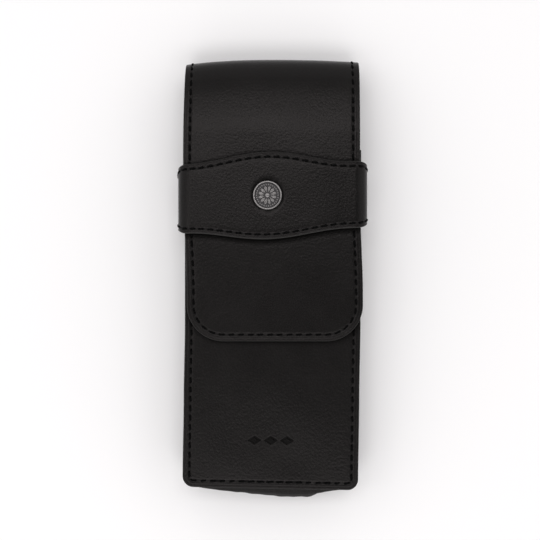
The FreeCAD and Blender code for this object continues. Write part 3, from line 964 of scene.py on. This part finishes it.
def band_layer(name, top, thickness, first, last, sewn, materials):
    cut = Cut()
    along = np.linspace(first, last, round((last - first) / 0.4))
    low, high = band_edges(along)
    low, high = low[:, None], high[:, None]
    edge = [(0.3, thickness), (0.06, thickness - 0.03), (0.0, thickness - 0.14), (0.0, 0.42),
            (0.04, 0.20), (0.15, 0.06)]
    pitch = band_length / round(band_length / PITCH)
    rows = []
    slots = []

    def drawn_in(inset):
        """How deep the seam and the line pressed along the edge lie here."""
        relief = stitch_relief(inset, along[:, None], pitch, BAND_SEAM_INSET) if sewn else 0
        return relief + 0.05 * bump(inset, 0.72, 0.13)

    for inset, depth in edge:
        rows.append((low + inset, top + depth, 0.0))
        slots.append(1)
    for inset in BAND_RINGS:
        # The seam and the edge crease get painted shade, as dark as their depth.
        rows.append((low + inset, top + drawn_in(inset), CREASE_SHADE * drawn_in(inset)))
        slots.append(0)
    shares = np.linspace(0, 1, 26)[1:-1]
    inner_low, inner_high = low + BAND_RINGS[-1] + 0.5, high - BAND_RINGS[-1] - 0.5
    for share in shares:
        across = inner_low + share * (inner_high - inner_low)
        # Painted shadow in a ring round the button, where the cap stands on the band.
        away = np.hypot(band_at(along, 0.0)[0][:, None] - BUTTON_X, across - BUTTON_Y)
        shade = DARKEST_RELIEF * ramp(away, BUTTON_RADIUS + 1.1, BUTTON_RADIUS + 0.3)
        rows.append((across, top, shade))
        slots.append(0)
    for inset in BAND_RINGS[::-1]:
        # The seam and the edge crease get painted shade, as dark as their depth.
        rows.append((high - inset, top + drawn_in(inset), CREASE_SHADE * drawn_in(inset)))
        slots.append(0)
    for inset, depth in edge[::-1]:
        rows.append((high - inset, top + depth, 0.0))
        slots.append(1)
    for share in shares[::-2]:
        rows.append((inner_low + share * (inner_high - inner_low), top + thickness, 0.0))
        slots.append(0)
    columns = []
    for across, depth, relief in rows:
        columns.append(cut.add(along[:, None], across, depth, relief)[:, 0])
    columns.append(columns[0])
    for index, slot in enumerate(slots):
        cut.quads(np.stack([columns[index], columns[index + 1]], axis=1), slot)
    for row in (0, -1):
        cut.polygon([column[row] for column in columns[:-1]], 1)
    return cut.object(name, place_band, materials)


def make_band():
    skin = [black_leather, painted_edge]
    piece = band_layer("band_leather", 0.0, OUTER, 0.0, band_length, True, skin)
    finished(piece, "case", "outer_leather", "band_outer")
    lining_start = BAND_SPAN - BAND_TAB_END + BAND_LOWER_BEND * (math.pi / 2 - 1) + 0.2
    piece = band_layer("band_lining_suede", OUTER + LINING_TRIM, LINING, lining_start,
                       band_length - lining_start, False, [lining_suede, painted_edge])
    finished(piece, "case", "lining_leather", "band_lining")
    along = np.linspace(0, band_length, 600)
    pitch = band_length / round(band_length / PITCH)
    low, high = band_edges(along)
    for name, y, node in (("band_upper_seam", high - BAND_SEAM_INSET, "band_upper_thread"),
                          ("band_lower_seam", low + BAND_SEAM_INSET, "band_lower_thread")):
        cut = Cut()
        stitches(cut, along, y, along, pitch, 0.0)
        finished(cut.object(name, place_band, [black_thread]), "case", "thread", node)


# Button

BEADS = 30
PETALS = 12
CAP_SPREAD = 1.03             # how much wider the finished cap is than its plain stand-in


def rosette(radius, angle):
    """The cap's shape and relief: a raised rim, a ring of beads, and a flower with a boss."""
    inner = BUTTON_RADIUS - 0.75
    rim = 0.34 * ramp(radius, inner - 0.12, inner + 0.16)
    rolled = -0.5 * ramp(radius, BUTTON_RADIUS - 0.42, BUTTON_RADIUS + 0.08) ** 2
    bead_turn = np.abs((angle * BEADS / (2 * math.pi)) % 1 - 0.5) * 2
    bead = 0.15 * bump(radius, 3.85, 0.26) * ramp(bead_turn, 0.15, 0.75)
    turn = np.abs((angle * PETALS / (2 * math.pi)) % 1 - 0.5) * 2
    width = 0.92 * np.sin(np.clip((radius - 0.9) / 2.5, 0, 1) * math.pi) ** 0.6
    petal = 0.20 * ramp(1 - turn, 1.02 - width, 1.30 - width) * ramp(radius, 0.85, 1.2)
    petal = petal * ramp(radius, 3.45, 3.2) * (1 - 0.55 * bump(turn, 0.0, 0.18))
    boss = 0.24 * np.sqrt(np.clip(1 - (radius / 0.85) ** 2, 0, 1))
    return rim + rolled, bead + petal + boss


def place_button(x, y, z):
    return CAP_SPREAD * x + BUTTON_X, CAP_SPREAD * y + BUTTON_Y, z


def make_button():
    """The cap. Its rivet plate is hidden, so it keeps its plain shape and gets the metal."""
    cut = Cut()
    rings = np.concatenate([np.linspace(0.06, 4.3, 44), np.linspace(4.38, BUTTON_RADIUS, 14)])
    angles = np.linspace(0, 2 * math.pi, 240, endpoint=False)
    radius, angle = np.meshgrid(rings, angles, indexing="ij")
    shape, relief = rosette(radius, angle)
    height = BUTTON_TOP - 0.36 + shape + relief
    top = cut.add(radius * np.cos(angle), radius * np.sin(angle), height)
    skirt = [(BUTTON_TOP - 0.75, BUTTON_RADIUS + 0.02), (BAND_TOP - 0.1, BUTTON_RADIUS - 0.05),
             (BAND_TOP - 0.45, 4.6)]
    rows = [top]
    for level, size in skirt:
        rows.append(cut.add(size * np.cos(angles), size * np.sin(angles), level)[None, :])
    grid = np.concatenate(rows)
    cut.quads(np.concatenate([grid, grid[:, :1]], axis=1))
    cut.polygon(grid[0])
    cut.polygon(grid[-1])
    piece = cut.object("button", place_button, [nickel])
    rubbed = np.zeros(cut.count)
    worn = np.clip((relief - 0.03) / 0.13, 0, 1) * 0.75 + 0.12
    worn = np.maximum(worn, ramp(radius, BUTTON_RADIUS - 0.72, BUTTON_RADIUS - 0.5))
    rubbed[:radius.size] = worn.ravel()
    rubbed[radius.size:] = 0.5
    attribute = piece.data.attributes.new("rubbed", "FLOAT", "POINT")
    attribute.data.foreach_set("value", rubbed.astype(np.float32))
    finished(piece, "case", "button_metal", "button_cap")
    plate = frame["nodes"]["button_base"]
    plate.data.materials.clear()
    plate.data.materials.append(nickel)


# Floor, light and camera

FLOOR_HALF = 25.0             # in metres, so that no view sees its edge


def make_floor():
    shader = Shader("pale_floor")
    place = shader.node("ShaderNodeTexCoord").outputs["Object"]
    faint = shader.noise(place, 6.0, 2.0)
    shader.set(Base_Color=shader.mix(faint, (0.900, 0.889, 0.894, 1), (0.912, 0.901, 0.906, 1)))
    shader.set(Roughness=0.9, Specular_IOR_Level=0.1)
    mesh = bpy.data.meshes.new("floor")
    corners = [(-FLOOR_HALF, -FLOOR_HALF, 0), (FLOOR_HALF, -FLOOR_HALF, 0),
               (FLOOR_HALF, FLOOR_HALF, 0), (-FLOOR_HALF, FLOOR_HALF, 0)]
    mesh.from_pydata(corners, [], [(0, 1, 2, 3)])
    mesh.materials.append(shader.material)
    floor = bpy.data.objects.new("floor", mesh)
    bpy.context.scene.collection.objects.link(floor)


# The studio's brightness by degrees from straight up: pale walls, a dark ceiling. A colour ramp
# starts with two stops, so the first two are set and the others are added.
DOME = [(0, 0.02), (20, 0.04), (32, 0.5), (46, 1.02), (62, 1.0), (90, 1.05)]


def make_studio():
    world = bpy.data.worlds.new("studio")
    world.use_nodes = True
    tree = world.node_tree
    background = tree.nodes["Background"]
    direction = tree.nodes.new("ShaderNodeTexCoord").outputs["Generated"]
    parts = tree.nodes.new("ShaderNodeSeparateXYZ")
    tree.links.new(direction, parts.inputs[0])
    angle = tree.nodes.new("ShaderNodeMath")
    angle.operation = "ARCCOSINE"
    tree.links.new(parts.outputs["Z"], angle.inputs[0])
    share = tree.nodes.new("ShaderNodeMath")
    share.operation = "DIVIDE"
    tree.links.new(angle.outputs[0], share.inputs[0])
    share.inputs[1].default_value = math.pi / 2
    dome = tree.nodes.new("ShaderNodeValToRGB")
    for index, (degrees, strength) in enumerate(DOME):
        stops = dome.color_ramp.elements
        stop = stops[index] if index < 2 else stops.new(degrees / 90)
        stop.position = degrees / 90
        stop.color = (strength, 0.995 * strength, 0.998 * strength, 1)
    tree.links.new(share.outputs[0], dome.inputs[0])
    tree.links.new(dome.outputs[0], background.inputs["Color"])
    background.inputs["Strength"].default_value = 1.0
    bpy.context.scene.world = world
    bpy.context.scene.view_settings.view_transform = "Standard"


def soft_box(name, place, width, depth, radiance):
    """A soft light that faces the case, with this brightness over its whole face."""
    data = bpy.data.lights.new(name, "AREA")
    data.shape = "RECTANGLE"
    data.size = width
    data.size_y = depth
    data.energy = radiance * math.pi * width * depth
    data.color = (1.0, 0.99, 0.985)
    light = bpy.data.objects.new(name, data)
    bpy.context.scene.collection.objects.link(light)
    light.location = place
    light.rotation_mode = "QUATERNION"
    light.rotation_quaternion = (-light.location).to_track_quat("-Z", "Y")


def make_light():
    make_studio()
    soft_box("key", (-0.02, 0.28, 1.0), width=0.6, depth=0.24, radiance=4.3)
    soft_box("fill", (-0.02, -0.44, 0.95), width=0.8, depth=0.34, radiance=3.0)
    soft_box("side", (-0.48, 0.02, 0.95), width=0.25, depth=0.5, radiance=2.0)


CAMERA_HEIGHT = 450.0
CAMERA_X = -0.56
CAMERA_Y = 3.5
HALF_VIEW = 105.0             # half the width seen at the floor's level


def make_camera():
    data = bpy.data.cameras.new("camera")
    data.sensor_fit = "HORIZONTAL"
    data.sensor_width = 36.0
    data.lens = data.sensor_width / 2 * CAMERA_HEIGHT / HALF_VIEW
    data.clip_start = 0.01
    data.clip_end = 20.0
    camera = bpy.data.objects.new("camera", data)
    bpy.context.scene.collection.objects.link(camera)
    camera.location = (CAMERA_X * MM, CAMERA_Y * MM, CAMERA_HEIGHT * MM)
    bpy.context.scene.camera = camera


make_sheet()
make_front()
make_front_threads()
make_side_gussets()
make_bottom_gusset()
make_dividers()
make_band()
make_button()
make_floor()
make_light()
make_camera()
